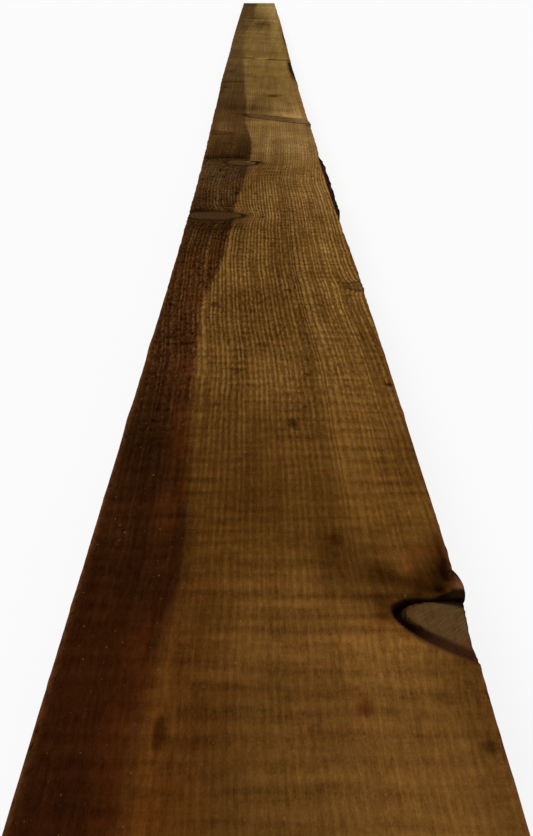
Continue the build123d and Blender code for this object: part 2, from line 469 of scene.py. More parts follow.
def ripple(value, seed, longest, shortest, count=7):
    """A smooth irregular wave between about -1 and 1, made of a few sine waves."""
    draw = np.random.default_rng(seed)
    total = np.zeros_like(np.asarray(value, float))
    for pitch in np.geomspace(longest, shortest, count):
        wave_length = pitch * draw.uniform(0.85, 1.15)
        total += np.sin(2 * math.pi * value / wave_length + draw.uniform(0, 2 * math.pi))
    return total / math.sqrt(count)


def through(points, value):
    """A smooth line through a few (place, amount) points."""
    places, amounts = np.array(points, float).T
    fine = np.linspace(places[0], places[-1], 2000)
    rough = np.interp(fine, places, amounts)
    kernel = np.hanning(41)
    padded = np.pad(rough, 20, mode="edge")
    return np.interp(value, fine, np.convolve(padded, kernel / kernel.sum(), mode="valid"))


# The plank's shape


def left_edge(s):
    """Where the left edge is across the plank, without its small bumps."""
    return -WIDTH / 2 + eased(LEFT_INSETS, s)


def right_edge(s):
    """Where the right edge is across the plank, without its small bumps."""
    return WIDTH / 2 - eased(RIGHT_INSETS, s)


def left_roughness(s):
    """How far in the left edge's small bumps and hollows lie."""
    rough = (0.04 + 0.3 * smooth(550, 950, s)) * ripple(s, 9, 90, 8)
    return 0.1 + rough - sum(out * soft(s, where) for out, where in LEFT_BUMPS)


def right_roughness(s):
    """How far out the right edge's small bumps and hollows lie."""
    rough = (0.06 + 0.2 * smooth(450, 850, s)) * ripple(s, 8, 60, 6)
    return 0.3 + rough + sum(out * soft(s, where) for out, where in RIGHT_BUMPS)


def swelling(s):
    """How far the strip of bark stands proud of the right edge."""
    bulge = SWELLING_BULGE * np.maximum(1 - ((s - BULGE_STATION) / BULGE_HALF) ** 2, 0)
    ends = np.clip(np.minimum(s - SWELLING_START, SWELLING_END - s) / SWELLING_RAMP, 0, 1)
    return (SWELLING_HEIGHT + bulge + 0.35 * ripple(s, 3, 70, 15)) * ends


def collar(s, z):
    """How far the bump of overgrown wood beside the large knot stands proud of the right edge."""
    cap_radius = (COLLAR_HALF**2 + COLLAR_HEIGHT**2) / (2 * COLLAR_HEIGHT)
    away = (s - COLLAR_STATION) ** 2 + (z - THICKNESS + COLLAR_DROP) ** 2
    return np.maximum(np.sqrt(np.maximum(cap_radius**2 - away, 0)) - cap_radius + COLLAR_HEIGHT, 0)


def row_stations():
    """Stations of the mesh's rows: close together where something small is, and wide apart elsewhere."""
    near_spacing, far_spacing, near_part = 8.0, 24.0, 1500.0
    widening = 0.13
    rows = [0.0]
    while rows[-1] < LENGTH - 1.0:
        here = rows[-1]
        step = near_spacing if here < near_part else far_spacing
        for middle, half, closest in CLOSE_ROWS:
            away = max(0.0, abs(here - middle) - half)
            step = min(step, closest + away * widening)
        rows.append(min(here + step, LENGTH))
    return np.array(rows)


def section():
    """Points round the plank's section: shares of its width and height, millimetres added to them, and the
    direction that each one faces. They run over the top from left to right, and back under it."""
    nominal = WIDTH - 4.0
    corner = WORN_CORNER
    end = nominal - corner
    foot = [THICKNESS - corner]
    fine_right = np.arange(106, end, 1.05)
    across = np.concatenate([np.arange(corner, 7, 1.1), np.arange(7, 106, 2.6), fine_right, [end]])
    down_right = np.concatenate([np.arange(corner, 37, 2.0), np.arange(37, foot[0], 4.0), foot])
    down_left = np.concatenate([np.arange(corner, 16, 2.4), np.arange(16, 46, 4.5), foot])
    under = np.linspace(corner, end, 14)
    points = []

    def bend(share_u, share_z, start):
        for turn in (30.0, 60.0):
            angle = math.radians(start - turn)
            facing_u, facing_z = math.cos(angle), math.sin(angle)
            shift_u = corner * facing_u - (corner if share_u else -corner)
            shift_z = corner * facing_z - (corner if share_z else -corner)
            points.append((share_u, shift_u, share_z, shift_z, facing_u, facing_z))

    points += [(a / nominal, 0, 1, 0, 0, 1) for a in across]
    bend(1, 1, 90)
    points += [(1, 0, 1, -d, 1, 0) for d in down_right]
    bend(1, 0, 0)
    points += [(a / nominal, 0, 0, 0, 0, -1) for a in under[::-1]]
    bend(0, 0, -90)
    points += [(0, 0, 1, -d, -1, 0) for d in down_left[::-1]]
    bend(0, 1, 180)
    return np.array(points).T


def branch_frame(name):
    """A point on a branch's middle line and the unit direction that it grows in, as u, s and z."""
    u, s, slope, heading, *_ = BRANCHES[name]
    slope, heading = math.radians(slope), math.radians(heading)
    level = math.cos(slope)
    along = (level * math.cos(heading), level * math.sin(heading), math.sin(slope))
    return np.array([u, s, THICKNESS]), np.array(along)


def from_branch(name, u, s, z):
    """Distance of points from a branch's middle line."""
    origin, along = branch_frame(name)
    du, ds, dz = u - origin[0], s - origin[1], z - origin[2]
    t = du * along[0] + ds * along[1] + dz * along[2]
    return np.sqrt(np.maximum(du * du + ds * ds + dz * dz - t * t, 0))


def from_core(name, u, s, z):
    """Distance of points from the middle line of a branch's wood, which the large knot has off centre."""
    if name != "edge":
        return from_branch(name, u, s, z)
    _, along = branch_frame(name)
    rise = CORE_RISE * (np.array([0, 0, 1.0]) - along * along[2])
    return from_branch(name, u - rise[0], s - rise[1], z - rise[2])


def bark_gap(u, s, z):
    """How far inside the ring of bark round the large knot points are. It is wider on its near flank."""
    flank = smooth(368, 352, s)
    inside_socket = SOCKET_RADIUS + 0.8 * flank - from_branch("edge", u, s, z)
    outside_core = from_core("edge", u, s, z) - CORE_RADIUS + 0.4 * flank
    return np.minimum(inside_socket, outside_core)


def pocket_gap(u, s):
    """How far inside the torn-out hollow points of the face are, in rough millimetres."""
    across, along = (u - POCKET_U) / POCKET_HALF_LENGTH, (s - POCKET_STATION) / POCKET_HALF_WIDTH
    return 4.0 * (1 - np.sqrt(across**2 + along**2))


def crack(u, s):
    """Where painted shade goes in the crack: a black wedge that opens to the right between the large knot and
    the bump beside it.
    """
    share = np.clip((u - 50) / 23, 0, 1)
    half = 0.45 + 4.6 * share**2.8
    middle = 377.0 - 1.6 * share + 2.0 * share**3
    return smooth(0, 0.2, share) * smooth(1.5, 0.6, np.abs(s - middle) / half) * (s > 350)


def waned(u, s, z):
    """Points pushed in to the round outside of the log, and how much bark is left on them."""
    bark = np.zeros_like(u)
    for begins, widest, ends, across, down, dark in WANES:
        half_length = max(widest - begins, ends - widest)
        reach = math.hypot(across, down)
        chord_u, chord_z = across / reach, -down / reach
        out_u, out_z = down / reach, across / reach
        face_u = right_edge(widest) - across
        bite = across * out_u
        sweep = (half_length**2 + bite**2) / (2 * bite)
        chord = (u - face_u) * chord_u + (z - THICKNESS) * chord_z
        out = (u - face_u) * out_u + (z - THICKNESS) * out_z
        along = np.clip(s - widest, -half_length, half_length)
        off_middle = (chord - reach / 2) / (reach / 2 + WANE_OVERCUT)
        limit = sweep - np.sqrt(sweep**2 - along**2) + WANE_ROUNDNESS * (1 - off_middle**2)
        limit = limit + 0.25 * ripple(s, 11, 60, 7) + 0.15 * ripple(s + 3 * chord, 12, 20, 5)
        inside = (s > begins) & (s < ends)
        cut = np.where(inside, np.maximum(out - limit, 0), 0)
        u = u - cut * out_u
        z = z - cut * out_z
        bark = np.maximum(bark, dark * smooth(0.02, 0.9, cut))
    return u, z, bark


def chip_out(u, s, z, left_side):
    """Points pushed in to the scoop that is broken out of the left edge."""
    mouth = (CHIP_HALF**2 + CHIP_INSET**2) / (2 * CHIP_INSET)
    depth = CHIP_DROP * mouth / CHIP_INSET
    radius = np.maximum(mouth * (1 - (THICKNESS - z) / depth), 0.01)
    reach_in = np.sqrt(np.maximum(radius**2 - (s - CHIP_STATION) ** 2, 0))
    edge_of_chip = left_edge(s) + CHIP_INSET - mouth + reach_in
    chipped = (reach_in > 0) & (u < edge_of_chip) & left_side
    return np.where(chipped, edge_of_chip, u), chipped.astype(float)


def knots_raised(u, s, z, top, side, facing_u, gap):
    """Points of each knot's wood moved out a little, because it is harder than the wood round it."""
    for name, (_, _, _, _, radius, _, pale, _, _) in BRANCHES.items():
        away = from_core(name, u, s, z)
        inside = smooth(1.0, -2.5, away - radius) * smooth(0.3, -0.1, gap)
        rise = 0.35 * inside + 0.25 * pale * inside * ripple(away * 1.3 + 0.5 * s, 21, 14, 4, 4)
        if name == "long_spike":
            rise = rise + 1.1 * inside * smooth(40, 72, u)
        z = z + np.where(top, rise, 0)
        u = u + np.where(side, facing_u * rise, 0)
    return u, z


def shaped(s, share_u, shift_u, share_z, shift_z, facing_u, facing_z):
    """The plank's surface, and masks for bark, for open gaps and for torn wood."""
    left, right = left_edge(s), right_edge(s)
    side, top = np.abs(facing_u) > 0.9, facing_z > 0.5
    to_right, to_left = facing_u > 0.4, facing_u < -0.4
    u = left + share_u * (right - left) + shift_u
    z = share_z * THICKNESS + shift_z

    # The strip of bark and the edges' small bumps
    swell = swelling(s)
    on_strip = to_right & (facing_z <= 0.51)
    u = u + swell * on_strip
    strip_drop = 1.2 * smooth(0.2, 2.0, swell) * smooth(40, 47, z)
    z = z - np.where(on_strip & (share_z > 0.5), strip_drop, 0)
    u = u + collar(s, z) * to_right
    u = u + np.where(to_right, right_roughness(s) * smooth(0, 40, z), 0)
    u = u + np.where(to_left, left_roughness(s) * smooth(0, 40, z), 0)
    u = u + np.where(side, facing_u * 0.15 * ripple(s + 0.4 * z * facing_u, 5, 90, 9), 0)
    z = z + np.where(top, 0.18 * ripple(s + 0.8 * u, 6, 260, 40), 0)
    ragged = 7.0 * ripple(z, 14, 45, 9, 4) * smooth(48, 36, z)
    strip_bark = smooth(0.3, 1.5, swelling(s + ragged)) * ((facing_u > 0.1) & (facing_z < 0.95))

    # What is cut and broken out of it
    u, z, bark = waned(u, s, z)
    bark = np.maximum(bark, strip_bark)
    gap = bark_gap(u, s, z)
    depth = GAP_DEPTH * smooth(0.0, 0.4 + 1.3 * smooth(370, 354, s), gap)
    z = z - np.where(top, depth, 0)
    corner = smooth(43, 49, z) * smooth(351, 345, s)
    u = u - np.where(to_right, depth * (1 - 0.85 * corner), 0)
    pocket = np.where(top, pocket_gap(u, s), -5.0)
    z = z - POCKET_DEPTH * smooth(0.0, 2.5, pocket)
    gap = np.maximum(gap, np.where(pocket > -2, pocket * 0.4, -5.0))
    u, chipped = chip_out(u, s, z, share_u < 0.2)
    u, z = knots_raised(u, s, z, top, side, facing_u, gap)
    return u, z, bark, gap, chipped


# How the wood lies in the plank


def pith(s):
    """Where the log's pith runs, across and in height."""
    return PITH_U + 3.0 * ripple(s, 31, 2600, 700, 4), PITH_Z + 4.0 * ripple(s, 32, 3000, 900, 3)


def fade_past_tip(u, branch_u, slope, size):
    """1 beside a branch, fading to 0 along the face past the tip of its oval cut."""
    half_length = size / math.tan(math.radians(slope))
    past = branch_u - half_length - u if branch_u > WIDTH / 2 + 25 else u - branch_u - half_length
    return np.exp(-np.maximum(past, 0) / 16.0)


def wood_fields(u, s, z):
    """The growth rings, heartwood and knots at points of the plank, as named numbers for the material."""
    pith_u, pith_z = pith(s)
    radius = np.hypot(u - pith_u, z - pith_z)
    ring = radius - through(RING_DRIFT, s)
    ring = ring + 0.22 * ripple(s + 0.7 * u, 33, 170, 40) + 0.05 * ripple(s + 2 * u, 34, 34, 12)
    heart_radius = np.hypot(through(HEART_EDGE, s) - pith_u, THICKNESS - pith_z)
    heart = heart_radius - radius + 0.4 * ripple(s, 35, 120, 14) + 0.25 * ripple(s + 5 * z, 36, 30, 6)
    far_off = np.full_like(u, 60.0)
    knots = {
        "knot": far_off, "knot_middle": far_off, "knot_pale": np.zeros_like(u),
        "knot_border": np.full_like(u, 1.5), "knot_here": np.full_like(u, 0.8),
    }
    for name, (branch_u, _, slope, _, size, border, pale, bend, here) in BRANCHES.items():
        uneven = (0.012 if name == "edge" else 0.05) * size
        away = from_core(name, u, s, z) + uneven * ripple(s * 0.7 + u * 0.5, 41 + int(size), 40, 9, 4)
        outside = away - size
        closeness = np.exp(-np.maximum(outside, 0) / (0.75 * size))
        ring = ring - bend * closeness * fade_past_tip(u, branch_u, slope, size)
        nearest = outside < knots["knot"]
        values = {
            "knot": outside, "knot_middle": away, "knot_pale": pale, "knot_border": border, "knot_here": here,
        }
        for field, value in values.items():
            knots[field] = np.where(nearest, value, knots[field])
    return {"ring": ring, "heart": heart, **knots}


def stains(u, s, z):
    """Large marks on the wood. Shade darkens it above 0 and lightens it below, warm makes it redder, black is
    painted shade inside the crack and at the rims of the torn-out hollow, rim the bruised corners and pale
    the splinters."""
    high = smooth(24, 44, z)
    shade = patches(STAINS, u, s)
    shade += high * (patches(HIGH_STAINS, u, s) + patches(EDGE_STAINS, u - right_edge(s), s))
    for amount, across, along, fall in SLANTED_STAINS:
        shade += amount * soft(u, across) * soft(s + fall * u, along)
    shade += 0.10 * ripple(s + 0.5 * u, 51, 700, 90) + 0.06 * ripple(u - 0.05 * s, 52, 60, 9)
    warm = patches(WARM_PATCHES, u, s)
    warm += 0.22 * ripple(s - 0.7 * u, 53, 500, 60) + 0.16 * ripple(u + 0.02 * s, 54, 40, 8)
    rim = np.exp(-np.abs(u - left_edge(s)) / 1.2) + 0.7 * np.exp(-np.abs(u - right_edge(s)) / 0.9)
    # Painted shade: the crack beside the large knot, and two rims of the torn-out hollow
    black = crack(u, s) * smooth(36, 44, z) + 0.9 * hump(u, 1, 3) * hump(s, 1113.5, 1.6)
    black += 0.6 * hump(u, -7, 10) * hump(s, 1124 - 0.9 * np.maximum(u + 7, 0), 1.8)
    pale = patches(SPLINTERS, u, s)
    return {"shade": shade, "warm": warm, "rim": rim * smooth(46, 48, z), "black": black, "pale": pale}


def end_face(row_u, station, row_z, start, flip):
    """Points and faces of a sawn end: loops that shrink to its middle. They share no point with the long
    faces, so the end's border stays sharp."""
    count = len(row_u)
    middle_u, middle_z = (row_u.min() + row_u.max()) / 2, THICKNESS / 2
    shares = np.linspace(1, 0, END_RINGS + 1)[:-1, None]
    loops_u = middle_u + (row_u - middle_u) * shares
    loops_z = middle_z + (row_z - middle_z) * shares
    points = np.stack([loops_u.ravel(), np.full(loops_u.size, station), loops_z.ravel()], -1)
    points = np.concatenate([points, [(middle_u, station, middle_z)]])
    index = start + np.arange(END_RINGS * count).reshape(END_RINGS, count)
    outer, inner, last = index[:-1], index[1:], index[-1]
    quads = np.stack([outer, inner, np.roll(inner, -1, 1), np.roll(outer, -1, 1)], -1).reshape(-1, 4)
    fan = np.stack([last, np.full(count, start + END_RINGS * count), np.roll(last, -1)], -1)
    faces = quads.tolist() + fan.tolist()
    return points, [face[::-1] for face in faces] if flip else faces


def plank_mesh():
    """The whole plank as one mesh, with the wood's fields on its points."""
    rows = row_stations()
    columns = section()
    count = columns.shape[1]
    s = np.repeat(rows[:, None], count, 1)
    u, z, bark, gap, chipped = shaped(s, *[np.repeat(column[None, :], len(rows), 0) for column in columns])
    grid = np.arange(u.size).reshape(u.shape)
    here, after = grid[:-1], grid[1:]
    quads = np.stack([here, np.roll(here, -1, 1), np.roll(after, -1, 1), after], -1).reshape(-1, 4)
    faces = quads.tolist()
    points = [np.stack([u.ravel(), s.ravel(), z.ravel()], -1)]
    start = u.size
    for row, flip in ((0, False), (-1, True)):
        end_points, end_faces = end_face(u[row], rows[row], z[row], start, flip)
        points.append(end_points)
        faces += end_faces
        start += len(end_points)
    points = np.concatenate(points)
    mesh = bpy.data.meshes.new("plank_wood")
    place = (points - (CENTRE_U, LENGTH / 2, 0)) / 1000
    mesh.from_pydata(place.tolist(), [], faces)

    # On the sawn ends a gap of 0 leaves the brown of a gap's rim
    on_ends = len(points) - u.size
    fields = {**wood_fields(*points.T), **stains(*points.T)}
    for name, mask in (("bark", bark), ("gap", gap), ("chipped", chipped)):
        fields[name] = np.concatenate([mask.ravel(), np.zeros(on_ends)])
    fields["end"] = np.concatenate([np.zeros(u.size), np.ones(on_ends)])
    for name in FIELD_NAMES:
        mesh.attributes.new(name, "FLOAT", "POINT").data.foreach_set("value", fields[name].astype(np.float32))
    mesh.update()
    mesh.validate()
    return mesh


# The plank's looks


class Nodes:
    """Short names for building the nodes of a material or a world."""

    def __init__(self, owner):
        owner.use_nodes = True
        self.tree = owner.node_tree
        self.tree.nodes.clear()

    def node(self, kind, inputs=(), **settings):
        """A new node. What goes into it is a number, a vector or the output of another node."""
        made = self.tree.nodes.new(kind)
        for name, value in settings.items():
            setattr(made, name, value)
        for name, value in dict(inputs).items():
            if isinstance(value, bpy.types.NodeSocket):
                self.tree.links.new(value, made.inputs[name])
            else:
                made.inputs[name].default_value = value
        return made

    def math(self, operation, a, b=0.0, clamp=False):
        return self.node("ShaderNodeMath", {0: a, 1: b}, operation=operation, use_clamp=clamp).outputs[0]

    def add(self, a, b):
        return self.math("ADD", a, b)

    def times(self, a, b):
        return self.math("MULTIPLY", a, b)

    def swing(self, noise, amount):
        """Noise that lies evenly round 0."""
        return self.times(self.add(noise, -0.5), amount)

    def between(self, value, low, high, to_low=0.0, to_high=1.0):
        """Eases from to_low to to_high as the value goes from low to high."""
        inputs = {"Value": value, "From Min": low, "From Max": high, "To Min": to_low, "To Max": to_high}
        return self.node("ShaderNodeMapRange", inputs, interpolation_type="SMOOTHSTEP").outputs[0]

    def mix_value(self, share, a, b):
        return self.node("ShaderNodeMapRange", {"Value": share, "To Min": a, "To Max": b}).outputs[0]

    def mix(self, share, a, b, blend="MIX"):
        """Colour a with a share of colour b mixed in."""
        inputs = {0: share, 6: a, 7: b}
        return self.node("ShaderNodeMix", inputs, data_type="RGBA", blend_type=blend).outputs[2]

    def on_vectors(self, operation, a, b=(0.0, 0.0, 0.0)):
        return self.node("ShaderNodeVectorMath", {0: a, 1: b}, operation=operation).outputs

    def vector(self, x, y, z):
        return self.node("ShaderNodeCombineXYZ", {0: x, 1: y, 2: z}).outputs[0]

    def field(self, name):
        return self.node("ShaderNodeAttribute", attribute_name=name, attribute_type="GEOMETRY").outputs["Fac"]

    def noise(self, vector, detail=3.0, roughness=0.55, scale=1.0):
        inputs = {"Vector": vector, "Scale": scale, "Detail": detail, "Roughness": roughness}
        return self.node("ShaderNodeTexNoise", inputs).outputs["Fac"]

    def ruffled(self, vector, scale, reach):
        """The vector with noise added to it, so that outlines drawn from it are uneven."""
        made = self.node("ShaderNodeTexNoise", {"Vector": vector, "Scale": scale, "Detail": 2.0})
        shift = self.on_vectors("SUBTRACT", made.outputs["Color"], (0.5, 0.5, 0.5))[0]
        return self.on_vectors("ADD", vector, self.on_vectors("MULTIPLY", shift, (reach, reach, reach))[0])[0]

    def ramp(self, station, stops):
        """A colour that changes along the plank through (station, screen colour) stops."""
        made = self.node("ShaderNodeValToRGB", {"Fac": self.times(station, 1 / LENGTH)})
        elements = made.color_ramp.elements
        while len(elements) < len(stops):
            elements.new(0.5)
        for element, (place, colour) in zip(elements, stops):
            element.position = place / LENGTH
            element.color = srgb(*colour)
        return made.outputs["Color"]


def read_fields(n):
    """Where a point lies on the plank, in millimetres, and the fields that the mesh carries."""
    metres = n.node("ShaderNodeTexCoord").outputs["Object"]
    place = n.on_vectors("MULTIPLY", metres, (1000, 1000, 1000))[0]
    x, y, z = n.node("ShaderNodeSeparateXYZ", {0: place}).outputs
    fields = {name: n.field(name) for name in FIELD_NAMES}
    return SimpleNamespace(place=place, x=x, y=y, z=z, station=n.add(y, LENGTH / 2), **fields)


def grain(n, wood, across, along, detail, roughness):
    """Noise that changes at one rate across the plank and at another along it."""
    place = n.vector(n.times(wood.x, across), n.times(wood.y, along), n.times(wood.z, across))
    return n.noise(place, detail, roughness)


def add_noises(n, wood):
    """Fibres that run along the grain, fuzz and grit that are finer, and clouds that are wider."""
    fibre_place = n.vector(n.times(wood.ring, 1.9), n.times(wood.y, 0.045), n.times(wood.z, 0.3))
    wood.streaks = n.noise(fibre_place, 4.0, 0.65)
    wood.fuzz = grain(n, wood, 0.6, 0.18, 5.0, 0.78)
    wood.grit = grain(n, wood, 1.6, 0.9, 3.0, 0.65)
    wood.speckle = grain(n, wood, 0.75, 0.22, 2.0, 0.6)
    wood.broken = grain(n, wood, 0.35, 0.09, 3.0, 0.6)
    wood.cloud = grain(n, wood, 0.045, 0.016, 4.0, 0.6)
    wood.broad = grain(n, wood, 0.09, 0.003, 2.0, 0.5)
    wood.across = grain(n, wood, 0.035, 0.2, 4.0, 0.65)
    wood.flakes = grain(n, wood, 0.5, 0.12, 5.0, 0.7)
    slanted = n.add(n.times(wood.y, 0.78), n.times(wood.x, -0.62))
    lengthways = n.add(n.times(wood.x, 0.78), n.times(wood.y, 0.62))
    slant_place = n.vector(n.times(slanted, 1.3), n.times(lengthways, 0.11), n.times(wood.z, 0.1))
    wood.slant = n.noise(slant_place, 4.0, 0.7)


def add_saw_marks(n, wood):
    """Marks of the saw's teeth across the plank, deeper in some places than in others."""
    wobble = n.noise(n.vector(n.times(wood.x, 0.02), n.times(wood.y, 0.03), 0.0))
    count = n.add(n.times(wood.y, 1 / SAW_PITCH), n.add(n.times(wood.x, 0.004), n.times(wobble, 1.5)))
    wave = n.math("FRACT", count)
    line = n.times(n.between(wave, 0.0, 0.3), n.between(wave, 0.35, 1.0, 1.0, 0.0))
    patchy = n.noise(n.vector(n.times(wood.x, 0.03), n.times(wood.y, 0.008), 7.0))
    wood.saw_where = n.between(patchy, 0.35, 0.65, 0.2, 1.0)
    wood.saw = n.times(line, wood.saw_where)


def add_rings(n, wood):
    """Growth rings, unevenly spaced, with their pale part torn by the saw's teeth."""
    uneven = n.noise(n.vector(n.times(wood.ring, 0.16), n.times(wood.y, 0.0004), 3.0), 2.0)
    wavy = n.noise(n.vector(n.times(wood.ring, 0.4), n.times(wood.y, 0.03), n.times(wood.z, 0.02)))
    count = n.add(n.times(wood.ring, 1 / RING_PITCH), n.add(n.times(uneven, 2.0), n.times(wavy, 0.3)))
    part = n.math("FRACT", count)
    pale_part = n.times(n.between(part, 0.0, 0.3), n.between(part, 0.35, 0.8, 1.0, 0.0))
    whole = n.math("FLOOR", count)
    draw = n.node("ShaderNodeTexWhiteNoise", {"W": whole}, noise_dimensions="1D").outputs["Value"]
    patchy = n.noise(n.vector(n.times(count, 0.3), n.times(wood.y, 0.008), 0.0), 3.0, 0.6)
    strength = n.add(n.times(draw, 0.9), n.between(patchy, 0.3, 0.7, 0.1, 0.9))
    tooth_count = n.add(n.times(wood.y, 1 / SAW_PITCH), n.add(n.times(wood.x, 0.02), n.times(draw, 0.7)))
    from_middle = n.math("ABSOLUTE", n.add(n.math("FRACT", tooth_count), -0.5))
    strongest = n.mix_value(wood.saw_where, 1.0, 1.15)
    weakest = n.mix_value(wood.saw_where, 1.0, 0.8)
    strength = n.times(strength, n.between(from_middle, 0.0, 0.42, strongest, weakest))
    early = n.times(pale_part, n.between(wood.broken, 0.36, 0.6, 0.5, 1.1))
    early = n.math("MULTIPLY", early, strength, clamp=True)
    near = n.between(wood.station, 300.0, 760.0, 0.14, 0.9)
    crisp = n.times(near, n.between(wood.station, 880.0, 1250.0, 1.0, 0.4))
    crisp = n.math("MAXIMUM", crisp, wood.end)
    wood.early = n.mix_value(crisp, 0.34, early)


def clear_wood(n, wood):
    """Colour of the wood without its stains, knots and bark, with the painted sheen of the far end in its
    ramps.
    """
    far_softness = n.between(wood.station, 900.0, 3200.0, 1.2, 9.0)
    softness = n.add(far_softness, n.between(wood.station, 300.0, 950.0, 3.2, 0.0))
    heart_place = n.add(wood.heart, n.swing(wood.streaks, 6.0))
    wood.in_heart = n.between(heart_place, n.times(softness, -1.0), softness)
    # The two ramps carry painted sheen: both grow paler toward the far end
    base = n.mix(wood.in_heart, n.ramp(wood.station, SAP_WITH_FAR_SHEEN), n.ramp(wood.station, HEART_WITH_FAR_SHEEN))
    colour = n.mix(1.0, base, n.mix(wood.early, LATE_WOOD, EARLY_WOOD), "MULTIPLY")
    beside_heart = n.times(n.between(wood.heart, -34.0, -5.0), n.between(wood.heart, -2.0, 3.0, 1.0, 0.0))
    ruddy = n.times(beside_heart, n.between(wood.station, 240.0, 480.0, 1.0, 0.0))
    colour = n.mix(ruddy, colour, n.mix(1.0, colour, RUDDY_WOOD, "MULTIPLY"))
    inside_edge = n.times(n.between(wood.heart, 16.0, 1.0), n.between(wood.heart, -3.0, 1.0))
    patchy = n.times(n.between(wood.station, 380.0, 900.0, 0.5, 0.1), n.between(wood.cloud, 0.4, 0.6))
    colour = n.mix(n.times(inside_edge, patchy), colour, HEART_RIM)
    return n.mix(n.between(wood.warm, 0.1, 1.0, 0.0, 0.42), colour, WARM_PATCH)


def spot_marks(n, place):
    """How strongly the small dark marks show at a place on the upper face."""
    total = 0.0
    for u, s, half_u, half_s, strength in SPOTS:
        away = n.on_vectors("SUBTRACT", place, (u - CENTRE_U, s - LENGTH / 2, THICKNESS))[0]
        away = n.on_vectors("MULTIPLY", away, (1 / half_u, 1 / half_s, 0.1))[0]
        far = n.on_vectors("LENGTH", away)["Value"]
        total = n.math("MAXIMUM", total, n.between(far, 0.35, 1.25, strength, 0.0))
    return total


def stained(n, wood, colour):
    """The wood's colour with its stains, dark marks, fine variation and painted glints."""
    variation = (
        (wood.cloud, 0.9),
        (wood.streaks, 0.6),
        (wood.broad, 0.5),
        (wood.fuzz, n.between(wood.station, 150.0, 420.0, 1.15, 1.45)),
        (wood.grit, 0.8),
        (wood.across, n.between(wood.station, 250.0, 560.0, 1.0, 1.1)),
    )
    light = 1.0
    for noise, amount in variation:
        light = n.add(light, n.swing(noise, amount))
    light = n.mix_value(n.between(wood.station, 1250.0, 1900.0, 0.0, 0.35), light, 1.0)
    middle_part = n.times(
        n.between(wood.station, 420.0, 640.0, 0.3, 1.9), n.between(wood.station, 960.0, 1400.0, 1.0, 0.3)
    )
    speckled = n.times(middle_part, n.mix_value(wood.in_heart, 1.0, 1.9))
    light = n.add(light, n.swing(wood.speckle, speckled))
    light = n.add(light, n.times(n.add(wood.saw, -0.2), 0.2))
    light = n.times(light, n.math("SUBTRACT", 1.0, wood.shade))
    light = n.times(light, n.math("SUBTRACT", 1.0, spot_marks(n, n.ruffled(wood.place, 0.35, 2.0))))
    light = n.math("MAXIMUM", light, 0.08)
    channels = {0: light, 1: n.math("POWER", light, 1.12), 2: n.math("POWER", light, 1.25)}
    colour = n.mix(1.0, colour, n.node("ShaderNodeCombineColor", channels).outputs[0], "MULTIPLY")
    # Painted glints: scattered pale flecks in place of tiny highlights
    glints = n.between(grain(n, wood, 0.8, 0.4, 1.0, 0.5), 0.73, 0.79, 0.0, 0.4)
    colour = n.mix(glints, colour, GLINT)
    return n.mix(n.times(wood.rim, n.between(wood.fuzz, 0.3, 0.6, 0.0, 0.7)), colour, BRUISED_EDGE)


def knotted(n, wood, colour):
    """Knots on the wood: their own rings and fibres, a dark border, and darker wood round them."""
    wood.knot_rings = n.math("FRACT", n.add(n.times(wood.knot_middle, 0.55), n.times(wood.fuzz, 1.2)))
    dark_knot = n.mix(wood.knot_rings, *DARK_KNOT)
    slant_fibres = n.between(wood.slant, 0.25, 0.75)
    fibres = n.mix_value(n.between(wood.station, 420.0, 440.0), slant_fibres, wood.knot_rings)
    knot_wood = n.mix(wood.knot_pale, dark_knot, n.mix(fibres, *PALE_KNOT))
    lighter_right = n.between(wood.x, 35.0 - CENTRE_U, 70.0 - CENTRE_U, -0.04, 0.14)
    streak = n.between(n.add(wood.slant, lighter_right), 0.46, 0.6)
    streak = n.times(streak, n.between(wood.station, 1330.0, 1345.0))
    streak = n.times(streak, n.between(wood.station, 1450.0, 1460.0, 0.8, 0.0))
    knot_wood = n.mix(streak, knot_wood, SPIKE_STREAK)
    knot_wood = n.mix(n.between(wood.streaks, 0.45, 0.8, 0.0, 0.6), knot_wood, KNOT_FIBRE)
    knot_wood = n.mix(n.between(wood.warm, 0.25, 1.0, 0.0, 0.7), knot_wood, WARM_KNOT)
    wood.knot_in = n.between(wood.knot, -0.7, 0.5, 1.0, 0.0)
    colour = n.mix(n.times(wood.knot_in, wood.knot_here), colour, knot_wood)
    from_border = n.math("ABSOLUTE", n.add(wood.knot, n.swing(wood.fuzz, 2.0)))
    border = n.between(n.math("DIVIDE", from_border, wood.knot_border), 0.4, 1.25, 1.0, 0.0)
    colour = n.mix(n.times(border, wood.knot_here), colour, KNOT_BORDER)
    halo_width = n.add(n.times(wood.knot_border, 4.0), 2.0)
    outside = n.times(n.between(wood.knot, -1.0, 0.0), wood.knot_here)
    return n.mix(n.times(n.between(wood.knot, 0.0, halo_width, 0.5, 0.0), outside), colour, KNOT_HALO)


